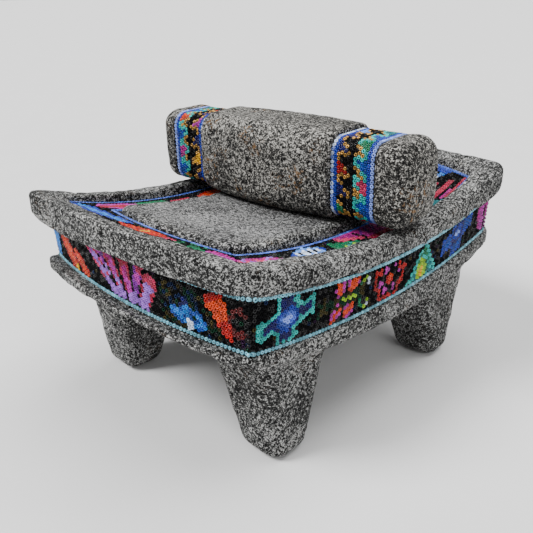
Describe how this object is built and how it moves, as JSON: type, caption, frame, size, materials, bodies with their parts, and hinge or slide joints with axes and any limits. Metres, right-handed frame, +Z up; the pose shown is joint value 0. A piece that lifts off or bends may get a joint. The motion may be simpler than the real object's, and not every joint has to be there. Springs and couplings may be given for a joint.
{
  "type": "metate with mano",
  "caption": "Four-legged carved stone grinding slab with a sagged rectangular top, raised pad and lipped sides, bands of glass beads set in wax, and a loose hand stone that strokes along the pad.",
  "frame": {"origin": "on the floor under the middle of the slab; the mano lies 1.5 mm to the left of it at rest, so the bounding box centre is that far off", "axes": "+Z up, X along the mano and across the slab, Y along the slab and the grinding stroke, -Y at the front end"},
  "size_m": [0.226, 0.297, 0.1855],
  "materials": {
    "basalt": "matte",
    "mano_basalt": "matte",
    "wax": "matte",
    "pale_blue_beads": "gloss",
    "periwinkle_beads": "gloss",
    "outer_beads": "gloss",
    "inner_beads": "gloss",
    "mano_beads": "gloss",
    "mano_edge_beads": "gloss"
  },
  "bodies": {
    "slab": {"metate_body": "basalt", "outer_wax": "wax", "inner_wax": "wax", "outer_beads_front": "outer_beads", "outer_beads_right": "outer_beads", "outer_beads_back": "outer_beads", "outer_beads_left": "outer_beads", "outer_row_upper": "pale_blue_beads", "outer_row_lower": "pale_blue_beads", "inner_beads_front": "inner_beads", "inner_beads_right": "inner_beads", "inner_beads_back": "inner_beads", "inner_beads_left": "inner_beads", "inner_row_rim": "periwinkle_beads", "inner_row_pad": "periwinkle_beads"},
    "mano": {"mano_stone": "mano_basalt", "mano_wax_left": "wax", "mano_wax_right": "wax", "mano_beads_left": "mano_beads", "mano_beads_right": "mano_beads", "mano_rows_left": "mano_edge_beads", "mano_rows_right": "mano_edge_beads"}
  },
  "joints": [
    {"name": "mano_stroke", "type": "hinge", "parent": "slab", "child": "mano", "pos_m": [0, 0, 0.594], "axis": [1, 0, 0], "range_deg": [-10, 8]}
  ]
}
